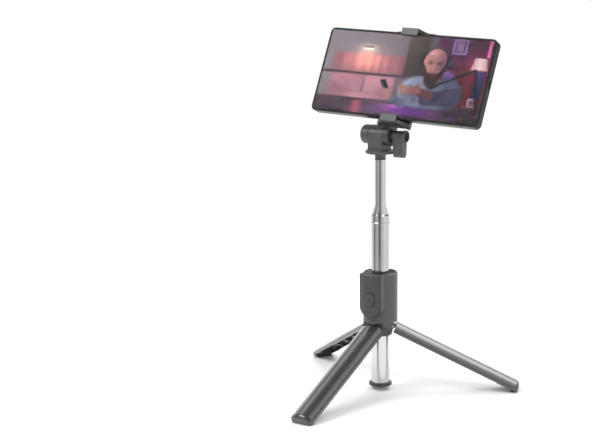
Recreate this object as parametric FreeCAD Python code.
"""Hand-held telescopic phone stand with three folding legs, a slide-out remote and a phone in its clamp.

Millimetres, +Z up. The origin is on the floor under the pole; the remote, one leg and the screen face -Y.
"""
import FreeCAD, Part
import math
import os

Vec = FreeCAD.Vector
ORIGIN = Vec(0, 0, 0)
ALONG_X = Vec(1, 0, 0)
ALONG_Y = Vec(0, 1, 0)
ALONG_Z = Vec(0, 0, 1)

# Clearances
RUN = 0.05  # radial play of a shaft in its bore
GAP = 0.30  # air between pieces that move past each other

# Telescopic pole
TUBE_COUNT = 5
TUBE_R = 8.0  # outer radius of the widest tube
TUBE_WALL = 0.45
TUBE_STEP = TUBE_WALL + GAP  # radius lost from one tube to the next
OUTER_BOTTOM = 4.5
OUTER_TOP = 158.5
INNER_LENGTH = 145.0
TIP_RISE = 2.3  # each tube's tip stands this much above the wider one's
TIP_LENGTH = 2.4  # drawn-in tip that holds the next tube
DRAWN_OUT = 38.5  # how far the thinnest tube is pulled up
GUIDE_LENGTH = 8.0  # plastic guide at each inner tube's lower end
COLLAR_LENGTH = 7.8
COLLAR_RISE = 0.3
END_DISC_R = TUBE_R + 2.2
END_DISC_Z = 3.6
END_DISC_T = 2.6

# Handle
HANDLE_R = TUBE_R + 7.2
HANDLE_BOTTOM = 59.6
HANDLE_TOP = 106.6
HANDLE_WALL = 1.8
SKIRT_WALL = 1.15  # thinner wall around the hub's collar
COLLAR_H = 5.8  # hub collar inside the skirt
TOP_T = 3.6  # thickness of the top cap and of the rim around it
BUSH_WALL = 1.2
SLEEVE_H = 9.0  # rubber sleeve that gives the pole its friction

# Leg hub
HUB_BOTTOM = 50.2
HUB_CORE_R = HANDLE_R - 4.9
HUB_CONE_R = HANDLE_R - 3.5
HUB_CONE_TOP = 56.2

# Folding legs
LEG_COUNT = 3
LEG_FIRST = -92.0  # azimuth of the first leg
LEG_LENGTH = 122.4
LEG_WIDTH = 22.0
LEG_WALL = 1.6
LEG_FLANK_R = HANDLE_R - 7.7  # radial position of the flanks' free edges when folded
LEG_SHOULDER = 2.5
PIVOT_R = HANDLE_R - 3.9
PIVOT_Z = 58.6
LEG_START = 2.4  # from the pivot to the leg's end face
PIN_R = 1.0
KNUCKLE_R = 2.1
KNUCKLE_W = 7.4
LUG_OUTER = 7.0  # half distance over the two lugs
SWEEP_R = 4.9  # room around the pivot for the leg's end
RIB_PITCH = 18.0
RIB_T = 1.2
LEG_NOSE = 4.0  # rounding of the crown where it ends
FOOT_LENGTH = 5.4
FOOT_INSET = 2.37  # from the leg's tip to the foot
HEEL = 4.115  # depth of the resting edge below the line from the pivot to the tip
reach = LEG_START + LEG_LENGTH
LEG_FOLD = math.degrees(math.acos(PIVOT_Z / math.hypot(reach, HEEL)) + math.atan2(HEEL, reach))
FOOT_OUT = PIVOT_R + reach * math.sin(math.radians(LEG_FOLD)) - FOOT_INSET
FOOT_IN = FOOT_OUT - FOOT_LENGTH
FOOT_W = 13.8

# Remote
REMOTE_W = 19.6
REMOTE_BOTTOM = 68.8
REMOTE_TOP = 106.2
REMOTE_BACK = 3.0 - HANDLE_R
REMOTE_FRONT = -4.3 - HANDLE_R
REMOTE_FACE_R = HANDLE_R + 6.6  # curve of the front face
REMOTE_END_R = 9.2
BOSS_WALL = 0.8
BOSS_FRONT = -1.9 - HANDLE_R
RAIL_T = 0.5
BUTTON_Z = 84.8
BUTTON_W = 9.6
BUTTON_H = 12.2
BUTTON_RISE = 0.8
LED_R = 0.55

# Head
NECK_R = 4.5
POST_R = 3.0
POST_TOP = 220.0
SKIRT_BOTTOM = 207.2
DISC_R = 13.0
DISC_Z = 211.6
DISC_T = 2.6
HINGE_Z = 227.5
BLOCK_X0 = -7.7
BLOCK_X1 = 6.0
BLOCK_HALF = 8.5
BOLT_R = 2.0
KNOB_R = 8.3
KNOB_T = 8.6
KNOB_ROUND = 3.0
TONGUE_R = 9.0
TONGUE_X1 = 12.0
LEVER_X0 = 13.0
LEVER_X1 = 26.0
LEVER_R = 4.6
LEVER_DROP = 15.4
LEVER_TIP_R = 3.2
LEVER_RING_R = 5.25

# Phone, in the clamp's own frame: x along its length, z up its screen, -y out of the screen
LEAN = 23.9  # how far the clamp leans back
ROLL = 2.34  # how far the clamp is turned clockwise
PHONE_X = 21.4
PHONE_Z = 47.4
PHONE_L = 164.4
PHONE_H = 77.0
PHONE_T = 8.8
PHONE_BACK = 13.3  # distance of the phone's back in front of the hinge axis
PHONE_CORNER = 4.5
PHONE_WALL = 1.5
GLASS_T = 0.5
KEY_RISE = 0.4

# Clamp
CLAMP_X = 20.1
CLAMP_W = 31.6
CLAMP_BACK = 3.5
CLAMP_FRONT = 12.8
REAR_W = 28.6  # narrower rear half, which clears the hinge when the clamp turns
HOUSING_Z0 = 11.0
HOUSING_Z1 = 58.0
APRON_Z0 = 3.4
APRON_BACK = 9.6
APRON_WALL = 2.0
LIP_W = 15.8
LIP_T = 2.2
LIP_REACH = 3.1  # how far a lip comes over the screen's edge
SHELF_T = 3.0
PAD_T = 1.0
JAW_W = 37.0
ROD_R = 1.5
ROD_X = 11.3
ROD_Y = -8.2
SPRING_X = 6.4
SWIVEL_Z = 24.5
SWIVEL_R = 2.5
SWIVEL_PLATE_R = 12.0
PLATE_T = 4.0

os.makedirs("parts", exist_ok=True)


def save(node, *solids):
    """Write one named node; several solids stay separate."""
    shape = solids[0] if len(solids) == 1 else Part.makeCompound(list(solids))
    shape.exportStep("parts/" + node + ".step")


def cyl(r, z0, z1, x=0.0, y=0.0):
    return Part.makeCylinder(r, z1 - z0, Vec(x, y, z0), ALONG_Z)


def rod_x(r, x0, x1, y=0.0, z=0.0):
    return Part.makeCylinder(r, x1 - x0, Vec(x0, y, z), ALONG_X)


def rod_y(r, y0, y1, x=0.0, z=0.0):
    return Part.makeCylinder(r, y1 - y0, Vec(x, y0, z), ALONG_Y)


def box(x0, x1, y0, y1, z0, z1):
    return Part.makeBox(x1 - x0, y1 - y0, z1 - z0, Vec(x0, y0, z0))


def lathe(profile):
    """Turn a closed outline of (radius, height) points about Z."""
    points = [Vec(r, 0, z) for r, z in profile]
    face = Part.Face(Part.makePolygon(points + points[:1]))
    return face.revolve(ORIGIN, ALONG_Z, 360)


def to_minus_x(shape):
    """Stand a turned piece on its side, its height pointing to -X."""
    return shape.rotated(ORIGIN, ALONG_Y, -90)


def slab(points, along, depth):
    """Push a closed outline through a depth."""
    face = Part.Face(Part.makePolygon(points + points[:1]))
    return face.extrude(along * depth)


def round_plate(cx, cz, width, height, corner, y0, y1):
    """Rectangle with round corners in XZ, from y0 to y1."""
    x0, x1 = cx - width / 2, cx + width / 2
    z0, z1 = cz - height / 2, cz + height / 2
    plate = box(x0 + corner, x1 - corner, y0, y1, z0, z1)
    plate = plate.fuse(box(x0, x1, y0, y1, z0 + corner, z1 - corner))
    for x in (x0 + corner, x1 - corner):
        for z in (z0 + corner, z1 - corner):
            plate = plate.fuse(rod_y(corner, y0, y1, x, z))
    return plate.removeSplitter()


def stadium(cx, cz, width, height, y0, y1):
    """Upright oval plate: two half circles joined by straight sides."""
    r = width / 2
    plate = box(cx - r, cx + r, y0, y1, cz - height / 2 + r, cz + height / 2 - r)
    for z in (cz - height / 2 + r, cz + height / 2 - r):
        plate = plate.fuse(rod_y(r, y0, y1, cx, z))
    return plate.removeSplitter()


def round_edges(shape, radius, keep):
    """Fillet the edges that the test picks."""
    return shape.makeFillet(radius, [e for e in shape.Edges if keep(e)])


def upright(edge):
    ends = [v.Point for v in edge.Vertexes]
    return len(ends) == 2 and math.hypot(ends[0].x - ends[1].x, ends[0].y - ends[1].y) < 1e-6


# ---------------------------------------------------------------- telescopic pole


def tube_r(i):
    return TUBE_R - i * TUBE_STEP


def tube_top(i):
    pulled = DRAWN_OUT if i == TUBE_COUNT - 1 else 0.0
    return OUTER_TOP + i * TIP_RISE + pulled


def tube_bottom(i):
    return OUTER_BOTTOM if i == 0 else tube_top(i) - INNER_LENGTH


def tip_outline(i):
    """Inner side of a tube's drawn-in tip, from its mouth downwards."""
    mouth = tube_r(i + 1) + RUN
    inside = tube_r(i) - TUBE_WALL
    top = tube_top(i)
    return [(mouth, top), (mouth, top - TIP_LENGTH * 0.65), (inside, top - TIP_LENGTH)]


def outer_tube():
    r, bead = tube_r(0), tube_top(0) - COLLAR_LENGTH
    outline = [(r, OUTER_BOTTOM), (r, bead - 0.6), (r + COLLAR_RISE * 1.7, bead - 0.2)]
    outline += [(r + COLLAR_RISE * 1.7, bead + 0.5), (r + COLLAR_RISE, bead + 0.8)]
    outline += [(r + COLLAR_RISE, OUTER_TOP - 1.4), (r - COLLAR_RISE, OUTER_TOP)]
    outline += tip_outline(0) + [(r - TUBE_WALL, OUTER_BOTTOM)]
    return lathe(outline)


def inner_tube(i):
    r, bottom, top = tube_r(i), tube_bottom(i), tube_top(i)
    if i == TUBE_COUNT - 1:
        return cyl(r, bottom, top).cut(cyl(r - TUBE_WALL, bottom, top))
    outline = [(r, bottom), (r, top - TIP_LENGTH), (tube_r(i + 1) + RUN + TUBE_WALL, top)]
    return lathe(outline + tip_outline(i) + [(r - TUBE_WALL, bottom)])


PIN_ANGLE = math.radians(-40.0)
pin_dir = Vec(math.cos(PIN_ANGLE), math.sin(PIN_ANGLE), 0)
pin_in = tube_r(0) - TUBE_WALL
crimp_pin = Part.makeCylinder(0.9, TUBE_WALL + 0.2, pin_dir * pin_in + ALONG_Z * 9.2, pin_dir)
save("tube_1", outer_tube().cut(crimp_pin))
crimp_pin = crimp_pin.common(cyl(tube_r(0), 0, 20))
save("crimp_pin", crimp_pin.cut(cyl(pin_in + 0.02, 0, 20)))
for i in range(1, TUBE_COUNT):
    save("tube_%d" % (i + 1), inner_tube(i))
    bore = tube_r(i - 1) - TUBE_WALL
    foot = tube_bottom(i)
    guide = cyl(bore - RUN, foot, foot + GUIDE_LENGTH).cut(cyl(tube_r(i), foot, foot + GUIDE_LENGTH))
    save("guide_%d" % (i + 1), guide)

plug_r = tube_r(0) - TUBE_WALL
disc_top = END_DISC_Z + END_DISC_T
end_plug = lathe([
    (0, END_DISC_Z), (END_DISC_R - 0.5, END_DISC_Z), (END_DISC_R, END_DISC_Z + 0.5),
    (END_DISC_R, disc_top - 0.3), (END_DISC_R - 0.3, disc_top), (TUBE_R, disc_top),
    (TUBE_R, OUTER_BOTTOM), (plug_r, OUTER_BOTTOM), (plug_r, 13.5), (0, 13.5),
])
save("end_plug", end_plug)

# ---------------------------------------------------------------- leg hub and handle


def leg_azimuth(k):
    return LEG_FIRST + k * 360.0 / LEG_COUNT


def around(shape, k):
    """Carry a piece made for azimuth 0 to leg k."""
    return shape.rotated(ORIGIN, ALONG_Z, leg_azimuth(k))


def opened(shape):
    """Swing a piece made in the folded place out to the standing place."""
    return shape.rotated(Vec(PIVOT_R, 0, PIVOT_Z), ALONG_Y, -LEG_FOLD)


room_half = LEG_WIDTH / 2 + GAP
sweep = rod_y(SWEEP_R, -room_half, room_half, PIVOT_R, PIVOT_Z)
sweep = sweep.cut(box(-1, PIVOT_R, -20, 20, HUB_CONE_TOP + GAP, 80))
folded_room = box(LEG_FLANK_R - GAP, 20, -room_half, room_half, 40, HUB_CONE_TOP + GAP)
leg_room = sweep.fuse(folded_room).cut(cyl(HUB_CONE_R + 0.05, 30, 80))
arm_half = KNUCKLE_W / 2 + GAP
arm_room = box(PIVOT_R - GAP, 20, -arm_half, arm_half, HUB_BOTTOM + 1.5, PIVOT_Z + 3.5)
arm_room = arm_room.fuse(rod_y(KNUCKLE_R + GAP, -arm_half, arm_half, PIVOT_R, PIVOT_Z))

collar_top = HANDLE_BOTTOM + COLLAR_H
collar_r = HANDLE_R - SKIRT_WALL
hub = lathe([
    (TUBE_R + RUN, HUB_BOTTOM), (HUB_CORE_R, HUB_BOTTOM), (HUB_CONE_R, HUB_CONE_TOP),
    (HANDLE_R - 2.4, HANDLE_BOTTOM - 2.0), (HANDLE_R, HANDLE_BOTTOM), (collar_r, HANDLE_BOTTOM),
    (collar_r, collar_top), (TUBE_R + RUN, collar_top),
])
for k in range(LEG_COUNT):
    hub = hub.cut(around(leg_room, k))
for k in range(LEG_COUNT):
    for side in (-1, 1):
        y0, y1 = sorted((side * (arm_half), side * LUG_OUTER))
        lug = rod_y(KNUCKLE_R, y0, y1, PIVOT_R, PIVOT_Z)
        lug = lug.fuse(box(TUBE_R + 1.0, PIVOT_R, y0, y1, PIVOT_Z - KNUCKLE_R, PIVOT_Z + KNUCKLE_R))
        hub = hub.fuse(around(lug, k))
bore_cut = cyl(TUBE_R + RUN, HUB_BOTTOM - 1, collar_top + 1)
pin_hole = rod_y(PIN_R, -LUG_OUTER - 1, LUG_OUTER + 1, PIVOT_R, PIVOT_Z)
for k in range(LEG_COUNT):
    hub = hub.cut(around(arm_room.fuse(pin_hole), k))
save("leg_hub", hub.cut(bore_cut))

boss_half = REMOTE_W / 2 + GAP + BOSS_WALL


def remote_outline(half, bottom, top, y0, y1):
    """Plate with straight sides and a rounded lower end."""
    end_r = REMOTE_END_R + half - REMOTE_W / 2
    plate = box(-half, half, y0, y1, bottom + end_r, top)
    plate = plate.fuse(box(-half + end_r, half - end_r, y0, y1, bottom, bottom + end_r))
    for x in (-half + end_r, half - end_r):
        plate = plate.fuse(rod_y(end_r, y0, y1, x, bottom + end_r))
    return plate.removeSplitter()


rim_top = HANDLE_TOP
boss = remote_outline(boss_half, REMOTE_BOTTOM - GAP - BOSS_WALL, rim_top, BOSS_FRONT, -5.0)
shell = lathe([
    (0, HANDLE_BOTTOM), (HANDLE_R, HANDLE_BOTTOM), (HANDLE_R, rim_top - 0.9),
    (HANDLE_R - 0.9, rim_top), (0, rim_top),
])
shell = shell.fuse(boss).removeSplitter()
inner_r = HANDLE_R - HANDLE_WALL
pocket_back = REMOTE_BACK + GAP
wall_back = pocket_back + BOSS_WALL
cavity = cyl(inner_r, HANDLE_BOTTOM - 1, rim_top + 1).cut(box(-20, 20, -30, wall_back, 0, 200))
shell = shell.cut(cavity)
shell = shell.cut(cyl(collar_r, HANDLE_BOTTOM - 1, collar_top))
pocket_half = REMOTE_W / 2 + GAP
pocket = remote_outline(pocket_half, REMOTE_BOTTOM - GAP, rim_top + 5, -30, pocket_back)
groove = box(
    -pocket_half - RAIL_T, pocket_half + RAIL_T, REMOTE_BACK - 2.2, REMOTE_BACK - 0.6, 76, rim_top + 5)
shell = shell.cut(pocket).cut(groove)
for k in range(LEG_COUNT):
    shell = shell.cut(around(sweep, k))
save("handle_shell", shell)

bush_r = TUBE_R + RUN + BUSH_WALL
cap_z = HANDLE_TOP - TOP_T
cap = lathe([
    (bush_r, cap_z), (inner_r, cap_z), (inner_r, HANDLE_TOP - 0.7), (inner_r - 0.8, HANDLE_TOP - 0.6),
    (bush_r + 1.2, HANDLE_TOP - 2.0), (bush_r, HANDLE_TOP - 2.0),
])
save("handle_top_cap", cap.cut(box(-20, 20, -30, wall_back, 0, 200)))
upper_bush = lathe([
    (TUBE_R + RUN, cap_z - 5), (bush_r + 0.9, cap_z - 5), (bush_r + 0.9, cap_z),
    (bush_r, cap_z), (bush_r, HANDLE_TOP - 1.2), (TUBE_R + RUN + 0.4, HANDLE_TOP - 0.9),
    (TUBE_R + RUN, HANDLE_TOP - 1.4),
])
save("upper_bush", upper_bush)
sleeve = lathe([
    (TUBE_R + RUN, collar_top), (wall_back * -1 - 0.4, collar_top),
    (wall_back * -1 - 0.4, collar_top + SLEEVE_H), (TUBE_R + RUN, collar_top + SLEEVE_H),
])
save("friction_sleeve", sleeve)

# ---------------------------------------------------------------- legs

leg_top = PIVOT_Z - LEG_START
leg_bottom = leg_top - LEG_LENGTH
half = LEG_WIDTH / 2
crown = cyl(HANDLE_R, leg_bottom, leg_top).common(
    box(LEG_FLANK_R, HANDLE_R + 1, -half, half, leg_bottom, leg_top))
crown = round_edges(crown, LEG_SHOULDER, lambda e: upright(e) and e.Vertexes[0].X > LEG_FLANK_R + 0.5)
crown = round_edges(
    crown, LEG_NOSE, lambda e: abs(e.BoundBox.ZMax - leg_bottom) < 1e-6 and e.BoundBox.XMax > LEG_FLANK_R + 0.5)
inner = half - LEG_WALL
channel = cyl(HANDLE_R - LEG_WALL, leg_bottom + LEG_WALL, leg_top - LEG_WALL).common(
    box(0, HANDLE_R, -inner, inner, leg_bottom, leg_top))
leg = crown.cut(channel)
for n in range(1, int(LEG_LENGTH / RIB_PITCH)):
    z = leg_top - n * RIB_PITCH
    rib = cyl(HANDLE_R - LEG_WALL + 0.2, z, z + RIB_T).common(
        box(LEG_FLANK_R + 0.6, 20, -inner - 0.2, inner + 0.2, z, z + RIB_T))
    leg = leg.fuse(rib.cut(cyl(END_DISC_R + 0.4, z - 1, z + 3)))
for side in (-1, 1):
    y0, y1 = sorted((side * (inner - 1.2), side * (inner + 0.3)))
    leg = leg.fuse(box(LEG_FLANK_R - 0.6, LEG_FLANK_R + 2.0, y0, y1, leg_bottom + 13, leg_bottom + 20))
leg = leg.cut(cyl(HUB_CONE_R + GAP, HUB_BOTTOM - 1.5, leg_top + 1))
arm = box(PIVOT_R, PIVOT_R + KNUCKLE_R, -KNUCKLE_W / 2, KNUCKLE_W / 2, leg_top - 6, PIVOT_Z)
arm = arm.fuse(box(PIVOT_R + 1, HANDLE_R - 1, -KNUCKLE_W / 2, KNUCKLE_W / 2, leg_top - 6, leg_top - 0.2))
arm = arm.fuse(rod_y(KNUCKLE_R, -KNUCKLE_W / 2, KNUCKLE_W / 2, PIVOT_R, PIVOT_Z))
leg = leg.fuse(arm).cut(rod_y(PIN_R + RUN, -LUG_OUTER, LUG_OUTER, PIVOT_R, PIVOT_Z))
leg = opened(leg.removeSplitter())
pin = rod_y(PIN_R, -LUG_OUTER, LUG_OUTER, PIVOT_R, PIVOT_Z)
inside = cyl(HANDLE_R - LEG_WALL - 0.02, leg_bottom + LEG_WALL + 0.02, 0).common(
    box(-4, HANDLE_R, -inner, inner, leg_bottom, 0))
pad_room = opened(inside.fuse(box(-4, PIVOT_R, -inner, inner, leg_bottom + LEG_WALL + 0.02, 0)))
pad = box(FOOT_IN, FOOT_OUT, -FOOT_W / 2, FOOT_W / 2, 0, 12).common(pad_room)
for x in (FOOT_IN + 1.6, FOOT_IN + 3.4):
    pad = pad.cut(box(x, x + 0.6, -20, 20, -1, 0.4))
leg_names = ("front", "right", "left")
for k, name in enumerate(leg_names):
    save("leg_" + name, around(leg, k))
    save("leg_pin_" + name, around(pin, k))
    save("foot_pad_" + name, around(pad, k))

# ---------------------------------------------------------------- remote

half = REMOTE_W / 2
face_centre = REMOTE_FRONT + REMOTE_FACE_R
bent = cyl(REMOTE_FACE_R, REMOTE_BOTTOM - 5, REMOTE_TOP + 5, 0, face_centre)
remote = remote_outline(half, REMOTE_BOTTOM, REMOTE_TOP, -30, REMOTE_BACK).common(bent)
rail_half = half + GAP + RAIL_T - 0.2
rails = box(-rail_half, rail_half, REMOTE_BACK - 1.9, REMOTE_BACK - 0.9, 77, REMOTE_TOP - 0.5)
remote = remote.fuse(rails)
well = stadium(0, BUTTON_Z, BUTTON_W + 2 * GAP, BUTTON_H + 2 * GAP, -30, REMOTE_BACK - 2.2)
board_room = box(-7.0, 7.0, REMOTE_BACK - 2.2, REMOTE_BACK - 1.0, 71, 103)
led = rod_y(LED_R, REMOTE_FRONT + 0.05, REMOTE_FRONT + 2.2, -6.5, BUTTON_Z + 1.2)
led_face = cyl(REMOTE_FACE_R - 0.02, REMOTE_BOTTOM, REMOTE_TOP, 0, face_centre)
remote = remote.cut(well).cut(board_room).cut(led)
save("remote_shell", remote)
save("remote_led", led.common(led_face))
save("remote_board", box(-6.8, 6.8, REMOTE_BACK - 2.1, REMOTE_BACK - 1.1, 71.3, 102.7))
button_dome = cyl(REMOTE_FACE_R + BUTTON_RISE, REMOTE_BOTTOM, REMOTE_TOP, 0, face_centre)
button = stadium(0, BUTTON_Z, BUTTON_W, BUTTON_H, -30, REMOTE_BACK - 3.4).common(button_dome)
save("remote_button", button)

# ---------------------------------------------------------------- head

top = tube_top(TUBE_COUNT - 1)
last_r = tube_r(TUBE_COUNT - 1)
neck_post = lathe([
    (0, top - 16), (last_r - TUBE_WALL, top - 16), (last_r - TUBE_WALL, top), (last_r - 0.2, top),
    (last_r - 0.2, SKIRT_BOTTOM - GAP), (POST_R, SKIRT_BOTTOM - GAP), (POST_R, POST_TOP), (0, POST_TOP),
])
save("neck_post", neck_post)

disc_top = DISC_Z + DISC_T
base = lathe([
    (POST_R + RUN, SKIRT_BOTTOM), (NECK_R, SKIRT_BOTTOM), (NECK_R + 0.6, DISC_Z), (DISC_R - 0.6, DISC_Z),
    (DISC_R, DISC_Z + 0.6), (DISC_R, disc_top - 0.6), (DISC_R - 0.6, disc_top), (POST_R + RUN, disc_top),
])
block = box(BLOCK_X0, BLOCK_X1, -BLOCK_HALF, BLOCK_HALF, disc_top - 0.5, HINGE_Z)
block = block.fuse(rod_x(BLOCK_HALF, BLOCK_X0, BLOCK_X1, 0, HINGE_Z)).removeSplitter()
block = block.cut(cyl(POST_R + RUN, 200, POST_TOP + GAP))
block = block.cut(rod_x(BOLT_R, BLOCK_X0 - 1, BLOCK_X1 + 1, 0, HINGE_Z))
save("head_base", base.fuse(block).removeSplitter())


def at_hinge(shape):
    return shape.translated(Vec(0, 0, HINGE_Z))


washer_t = 0.5
save("knob_washer", at_hinge(to_minus_x(lathe([
    (BOLT_R, -BLOCK_X0), (KNOB_R - 0.9, -BLOCK_X0), (KNOB_R - 0.9, washer_t - BLOCK_X0),
    (BOLT_R, washer_t - BLOCK_X0)]))))
knob_0 = washer_t - BLOCK_X0
knob_1 = knob_0 + KNOB_T
knob = cyl(KNOB_R, knob_0, knob_1)
knob = round_edges(knob, KNOB_ROUND, lambda e: abs(e.CenterOfMass.z - knob_1) < 1e-6)
knob = knob.cut(cyl(BOLT_R, knob_0 - 1, knob_1 - 1.6)).cut(cyl(3.6, knob_0 + 1.5, knob_1 - 1.6))
save("end_knob", at_hinge(to_minus_x(knob)))
bolt_head = rod_x(3.6, -(knob_1 - 1.6), -(knob_0 + 1.5))
save("hinge_bolt", at_hinge(bolt_head.fuse(rod_x(BOLT_R, -(knob_0 + 1.6), LEVER_X1 - 2.6))))

washer = rod_x(6.2, TONGUE_X1 + GAP, LEVER_X0).cut(rod_x(BOLT_R + RUN, 0, 30))
save("lever_washer", at_hinge(washer))
lobe_x0, lobe_x1 = LEVER_X0 + 1.5, LEVER_X1 - 1.9
slope = math.asin((LEVER_R - LEVER_TIP_R) / LEVER_DROP)
wide = [LEVER_R * math.cos(slope), -LEVER_R * math.sin(slope)]
thin = [LEVER_TIP_R * math.cos(slope), -LEVER_DROP - LEVER_TIP_R * math.sin(slope)]
lobe = slab([
    Vec(lobe_x0, wide[0], wide[1]), Vec(lobe_x0, -wide[0], wide[1]),
    Vec(lobe_x0, -thin[0], thin[1]), Vec(lobe_x0, thin[0], thin[1]),
], ALONG_X, lobe_x1 - lobe_x0)
lobe = lobe.fuse(rod_x(LEVER_TIP_R, lobe_x0, lobe_x1, 0, -LEVER_DROP))
lever = lobe.fuse(rod_x(LEVER_R, LEVER_X0, LEVER_X1 - 2.4))
lever = lever.fuse(rod_x(LEVER_RING_R, LEVER_X1 - 2.4, LEVER_X1)).removeSplitter()
lever = lever.cut(rod_x(LEVER_RING_R - 1.0, LEVER_X1 - 1.8, LEVER_X1 + 1))
lever = lever.cut(rod_x(BOLT_R + RUN, LEVER_X0 - 1, LEVER_X1))
nut_points = [Vec(0, 3.5 * math.cos(n * math.pi / 3), 3.5 * math.sin(n * math.pi / 3)) for n in range(6)]
nut = slab(nut_points, ALONG_X, 3.2).translated(Vec(LEVER_X1 - 5.0, 0, 0))
save("thumb_lever", at_hinge(lever.cut(nut)))
save("lever_nut", at_hinge(nut.cut(rod_x(BOLT_R + RUN, 0, 40))))

# ---------------------------------------------------------------- tilting bracket


def leaned(shape):
    """From the tilting frame, with the hinge axis at its origin, to the stand's frame."""
    return at_hinge(shape.rotated(ORIGIN, ALONG_X, -LEAN))


def rolled(shape):
    """From the clamp's frame to the stand's frame."""
    return leaned(shape.rotated(Vec(PHONE_X, 0, PHONE_Z), ALONG_Y, ROLL))


turn = math.radians(ROLL)
swivel_dx, swivel_dz = CLAMP_X - PHONE_X, SWIVEL_Z - PHONE_Z
swivel_x = PHONE_X + swivel_dx * math.cos(turn) + swivel_dz * math.sin(turn)
swivel_z = PHONE_Z - swivel_dx * math.sin(turn) + swivel_dz * math.cos(turn)
tongue_x0 = BLOCK_X1 + GAP
plate_front = -(CLAMP_BACK - GAP)
plate_rear = plate_front + PLATE_T
bracket = rod_x(TONGUE_R, tongue_x0, TONGUE_X1)
bracket = bracket.fuse(box(tongue_x0, TONGUE_X1, plate_front, TONGUE_R * 0.62, 0, swivel_z + 4))
bracket = bracket.fuse(rod_y(SWIVEL_PLATE_R, plate_front, plate_rear, swivel_x, swivel_z))
bracket = bracket.fuse(box(tongue_x0, swivel_x, plate_front, plate_rear, swivel_z - 9, swivel_z + 9))
lean_cut = slab([Vec(0, plate_rear, swivel_z + 9), Vec(0, 12, swivel_z + 9), Vec(0, 12, 9)], ALONG_X, 40)
bracket = bracket.cut(lean_cut).removeSplitter()
bracket = bracket.cut(rod_x(BOLT_R + RUN, 0, 20))
screw_hole = rod_y(SWIVEL_R, -20, 20, swivel_x, swivel_z)
save("tilt_bracket", leaned(bracket.cut(screw_hole)))
screw = rod_y(SWIVEL_R, -7.4, plate_rear, swivel_x, swivel_z)
screw = screw.fuse(rod_y(5.0, -9.4, -7.0, swivel_x, swivel_z)).removeSplitter()
for n in range(6):
    a = n * math.pi / 3
    notch_x, notch_z = swivel_x + 5.2 * math.cos(a), swivel_z + 5.2 * math.sin(a)
    screw = screw.cut(rod_y(0.7, -10, -6, notch_x, notch_z))
save("swivel_screw", leaned(screw))
cover = rod_y(5.5, plate_rear, plate_rear + 1.4, swivel_x, swivel_z)
cover = round_edges(cover, 0.8, lambda e: abs(e.CenterOfMass.y - plate_rear - 1.4) < 1e-6)
save("swivel_cover", leaned(cover))

# ---------------------------------------------------------------- clamp

c_half = CLAMP_W / 2
front_y, back_y = -CLAMP_FRONT, -CLAMP_BACK


def clamp_x(u):
    return CLAMP_X + u


housing = box(clamp_x(-c_half), clamp_x(c_half), front_y, -APRON_BACK, HOUSING_Z0, HOUSING_Z1)
rear_half = REAR_W / 2
housing = housing.fuse(box(
    clamp_x(-rear_half), clamp_x(rear_half), -APRON_BACK, back_y, SWIVEL_Z, HOUSING_Z1))
housing = housing.fuse(rod_y(rear_half, -APRON_BACK, back_y, CLAMP_X, SWIVEL_Z))
for side in (-1, 1):
    u0, u1 = sorted((side * c_half, side * (c_half - APRON_WALL)))
    wall = box(clamp_x(u0), clamp_x(u1), front_y, -APRON_BACK, APRON_Z0 + 1.6, HOUSING_Z0)
    wall = wall.fuse(rod_x(1.6, clamp_x(u0), clamp_x(u1), (front_y - APRON_BACK) / 2, APRON_Z0 + 1.6))
    housing = housing.fuse(wall)
apron_in = c_half - APRON_WALL
housing = housing.fuse(
    box(clamp_x(-apron_in), clamp_x(apron_in), -APRON_BACK - 1.0, -APRON_BACK, APRON_Z0 + 1.0, HOUSING_Z0))
housing = housing.removeSplitter()
for side in (-1, 1):
    housing = housing.cut(cyl(ROD_R + RUN, SWIVEL_Z - 4, HOUSING_Z1 + 1, clamp_x(side * ROD_X), ROD_Y))
    housing = housing.cut(cyl(2.5, 34, HOUSING_Z1 + 1, clamp_x(side * SPRING_X), ROD_Y))
housing = housing.cut(rod_y(SWIVEL_R + RUN, -20, 0, CLAMP_X, SWIVEL_Z))
housing = housing.cut(rod_y(5.4, -20, -6.7, CLAMP_X, SWIVEL_Z))
pad_front = -(PHONE_BACK - GAP)
pad_rear = pad_front + 1.2
housing = housing.cut(box(clamp_x(-13), clamp_x(13), -20, pad_rear, 14, 56))
save("clamp_housing", rolled(housing))
back_pad = round_plate(CLAMP_X, 35, 25.6, 41.6, 1.5, pad_front, pad_rear)
for n in range(6):
    back_pad = back_pad.cut(box(clamp_x(-11), clamp_x(11), -20, pad_front + 0.4, 18 + n * 6.4, 19 + n * 6.4))
save("back_pad", rolled(back_pad))

phone_bottom = PHONE_Z - PHONE_H / 2
phone_top = PHONE_Z + PHONE_H / 2
phone_front = PHONE_BACK + PHONE_T
lip_y1 = -(phone_front + GAP)
lip_y0 = lip_y1 - LIP_T
lip_half = LIP_W / 2


def jaw_outline(wide, inner_half, root_y):
    """Plan of a jaw: wide at the housing, narrowing through two slanted sides to the lip."""
    right = [(inner_half, root_y), (inner_half, front_y), (wide, front_y), (wide, front_y - 1.4)]
    right += [(lip_half, lip_y1), (lip_half, lip_y0)]
    left = [(-u, y) for u, y in reversed(right)]
    return right + left


def jaw_shelf(outline, z0, z1):
    return slab([Vec(clamp_x(u), y, z0) for u, y in outline], ALONG_Z, z1 - z0)


def hollow_underside(shelf, z0, z1):
    """Two pockets that leave a rib along each slanted side."""
    for side in (-1, 1):
        points = [(1.2, front_y - 1.0), (12.0, front_y - 1.0), (6.4, lip_y1 + 1.2), (1.2, lip_y1 + 1.2)]
        outline = [Vec(clamp_x(side * u), y, z0) for u, y in points]
        shelf = shelf.cut(slab(outline, ALONG_Z, z1 - z0))
    return shelf


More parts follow.
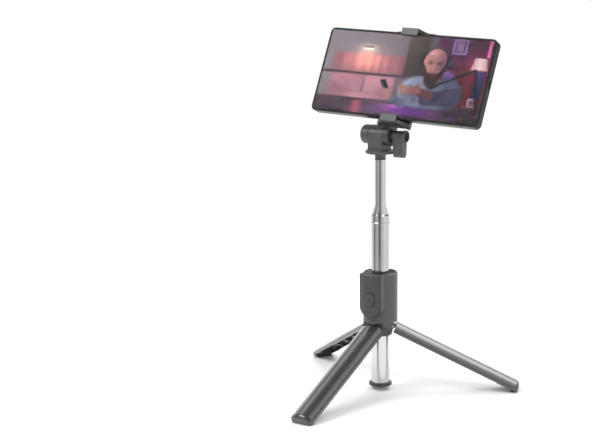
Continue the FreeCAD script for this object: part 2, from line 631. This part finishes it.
pad_z1 = phone_bottom - GAP
shelf_z1 = pad_z1 - 0.4
shelf_z0 = shelf_z1 - SHELF_T
lower = jaw_shelf(jaw_outline(c_half, apron_in, -APRON_BACK - 1.0), shelf_z0, shelf_z1)
lower = hollow_underside(lower, shelf_z0 - 1, shelf_z0 + 1.6)
lower = lower.fuse(box(
    clamp_x(-lip_half), clamp_x(lip_half), lip_y0, lip_y1, shelf_z0, phone_bottom + LIP_REACH))
lower = round_edges(
    lower, 0.9, lambda e: abs(e.CenterOfMass.y - lip_y0) < 1e-6 and abs(e.CenterOfMass.x - CLAMP_X) < 0.1)
pad_seat = (clamp_x(-lip_half + 0.6), clamp_x(lip_half - 0.6), lip_y1 + 0.6, front_y - 1.5)
save("lower_jaw", rolled(lower.cut(box(*pad_seat, pad_z1 - PAD_T, pad_z1 + 1))))
save("lower_pad", rolled(box(*pad_seat, pad_z1 - PAD_T, pad_z1)))

pad_z0 = phone_top + GAP
shelf_z0 = pad_z0 + 0.4
shelf_z1 = shelf_z0 + SHELF_T
jaw_half = JAW_W / 2
rod_top = 67.0
upper = box(clamp_x(-rear_half), clamp_x(rear_half), -APRON_BACK - 1, back_y, HOUSING_Z1 + 0.5, shelf_z1)
upper = round_edges(upper, 3.0, lambda e: upright(e) and e.Vertexes[0].Y > back_y - 0.1)
upper = upper.fuse(box(
    clamp_x(-jaw_half), clamp_x(jaw_half), front_y, -APRON_BACK, HOUSING_Z1 + 0.5, shelf_z1))
upper = upper.cut(box(clamp_x(-11.8), clamp_x(11.8), -7.4, 0, rod_top + 2, shelf_z1 - 3.4))
for side in (-1, 1):
    u0, u1 = sorted((side * 10.2, side * 15.4))
    upper = upper.cut(box(clamp_x(u0), clamp_x(u1), -20, -9.0, shelf_z0 + 0.5, shelf_z1 - 0.8))
upper = upper.fuse(jaw_shelf(jaw_outline(11.0, 11.0, front_y + 0.5), shelf_z0, shelf_z1))
upper = upper.fuse(box(
    clamp_x(-lip_half), clamp_x(lip_half), lip_y0, lip_y1, phone_top - LIP_REACH, shelf_z1)).removeSplitter()
upper = round_edges(
    upper, 0.9, lambda e: abs(e.CenterOfMass.y - lip_y0) < 1e-6 and abs(e.CenterOfMass.x - CLAMP_X) < 0.1)
upper = upper.cut(box(*pad_seat, pad_z0 - 1, pad_z0 + PAD_T))
for side in (-1, 1):
    upper = upper.cut(cyl(ROD_R, HOUSING_Z1, rod_top, clamp_x(side * ROD_X), ROD_Y))
save("upper_jaw", rolled(upper))
save("upper_pad", rolled(box(*pad_seat, pad_z0, pad_z0 + PAD_T)))
rods = [cyl(ROD_R, SWIVEL_Z - 2.5, rod_top, clamp_x(side * ROD_X), ROD_Y) for side in (-1, 1)]
save("guide_rods", *[rolled(r) for r in rods])

coil_r, wire_r, coil_h = 1.7, 0.35, 22.0
springs = []
for side in (-1, 1):
    helix = Part.makeHelix(1.5, coil_h, coil_r)
    start = Part.Wire([Part.Edge(Part.Circle(Vec(coil_r, 0, 0), ALONG_Y, wire_r))])
    spring = Part.Wire(helix.Edges).makePipeShell([start], True, True)
    springs.append(rolled(spring.translated(Vec(clamp_x(side * SPRING_X), ROD_Y, 34.6))))
save("jaw_springs", *springs)

# ---------------------------------------------------------------- phone

frame_y0 = -(phone_front - GLASS_T)
frame_y1 = -(PHONE_BACK + GLASS_T)
band = round_plate(PHONE_X, PHONE_Z, PHONE_L, PHONE_H, PHONE_CORNER, frame_y0, frame_y1)
band = round_edges(band, 0.9, lambda e: abs(e.CenterOfMass.y - frame_y1) < 1e-6)
well_l, well_h = PHONE_L - 2 * PHONE_WALL, PHONE_H - 2 * PHONE_WALL
band = band.cut(round_plate(
    PHONE_X, PHONE_Z, well_l, well_h, PHONE_CORNER - PHONE_WALL, frame_y0 - 1, frame_y1 - 1.2))
phone_end = PHONE_X + PHONE_L / 2
port_y = -(PHONE_BACK + PHONE_T / 2)


def port(width, height, x0, x1):
    """Flat slot with round ends, along X, in the phone's right end."""
    r = height / 2
    slot = box(x0, x1, port_y - r, port_y + r, PHONE_Z - width / 2 + r, PHONE_Z + width / 2 - r)
    for z in (PHONE_Z - width / 2 + r, PHONE_Z + width / 2 - r):
        slot = slot.fuse(rod_x(r, x0, x1, port_y, z))
    return slot.removeSplitter()


band = band.cut(port(9.2, 3.4, phone_end - 3, phone_end + 1))
for n in range(6):
    band = band.cut(rod_x(0.6, phone_end - 3, phone_end + 1, port_y, PHONE_Z - 11 - n * 2.2))
for n in range(2):
    band = band.cut(rod_x(0.5, phone_end - 3, phone_end + 1, port_y, PHONE_Z + 9.5 + n * 2.2))
keys = []
for x, length in ((-34.0, 20.0), (-14.0, 11.0)):
    key = round_plate(x, port_y, length, 2.8, 1.35, -phone_top - KEY_RISE, -phone_top + 0.9)
    keys.append(key.rotated(ORIGIN, ALONG_X, -90))
for key in keys:
    band = band.cut(key)
save("phone_frame", rolled(band))
save("phone_keys", *[rolled(key) for key in keys])
shell_t = 0.35
socket = port(9.2, 3.4, phone_end - 8, phone_end - 0.25)
socket = socket.cut(port(9.2 - 2 * shell_t, 3.4 - 2 * shell_t, phone_end - 7.6, phone_end + 1))
socket = socket.fuse(box(phone_end - 7.8, phone_end - 1.5, port_y - 0.35, port_y + 0.35, PHONE_Z - 3, PHONE_Z + 3))
save("phone_port", rolled(socket))
inset = 0.35
glass_l, glass_h = PHONE_L - 2 * inset, PHONE_H - 2 * inset
front_glass = round_plate(
    PHONE_X, PHONE_Z, glass_l, glass_h, PHONE_CORNER - inset, -phone_front, -phone_front + GLASS_T)
save("phone_glass", rolled(front_glass))
rear_in = 1.1
rear_glass = round_plate(
    PHONE_X, PHONE_Z, PHONE_L - 2 * rear_in, PHONE_H - 2 * rear_in, PHONE_CORNER - rear_in,
    -PHONE_BACK - GLASS_T, -PHONE_BACK)
save("phone_back", rolled(rear_glass))
bezel = 0.3
display = round_plate(
    PHONE_X, PHONE_Z, well_l - 2 * bezel, well_h - 2 * bezel, PHONE_CORNER - PHONE_WALL - bezel,
    frame_y0, frame_y0 + 1.2)
save("phone_display", rolled(display))
battery = round_plate(PHONE_X + 8, PHONE_Z, 92, 60, 2, frame_y1 - 5.2, frame_y1 - 1.3)
save("phone_battery", rolled(battery))
bump_x, bump_z = -43.0, 69.0
bump = round_plate(bump_x, bump_z, 20.0, 26.0, 5.0, -PHONE_BACK, -PHONE_BACK + 1.6)
lenses = []
for x, z, r in ((-43.0, 75.5, 4.6), (-43.0, 62.8, 4.6), (-36.2, 69.2, 1.9)):
    lens = rod_y(r, -PHONE_BACK + 0.8, -PHONE_BACK + 2.1, x, z)
    lenses.append(lens)
    bump = bump.cut(lens)
save("camera_bump", rolled(bump))
save("camera_lenses", *[rolled(lens) for lens in lenses])
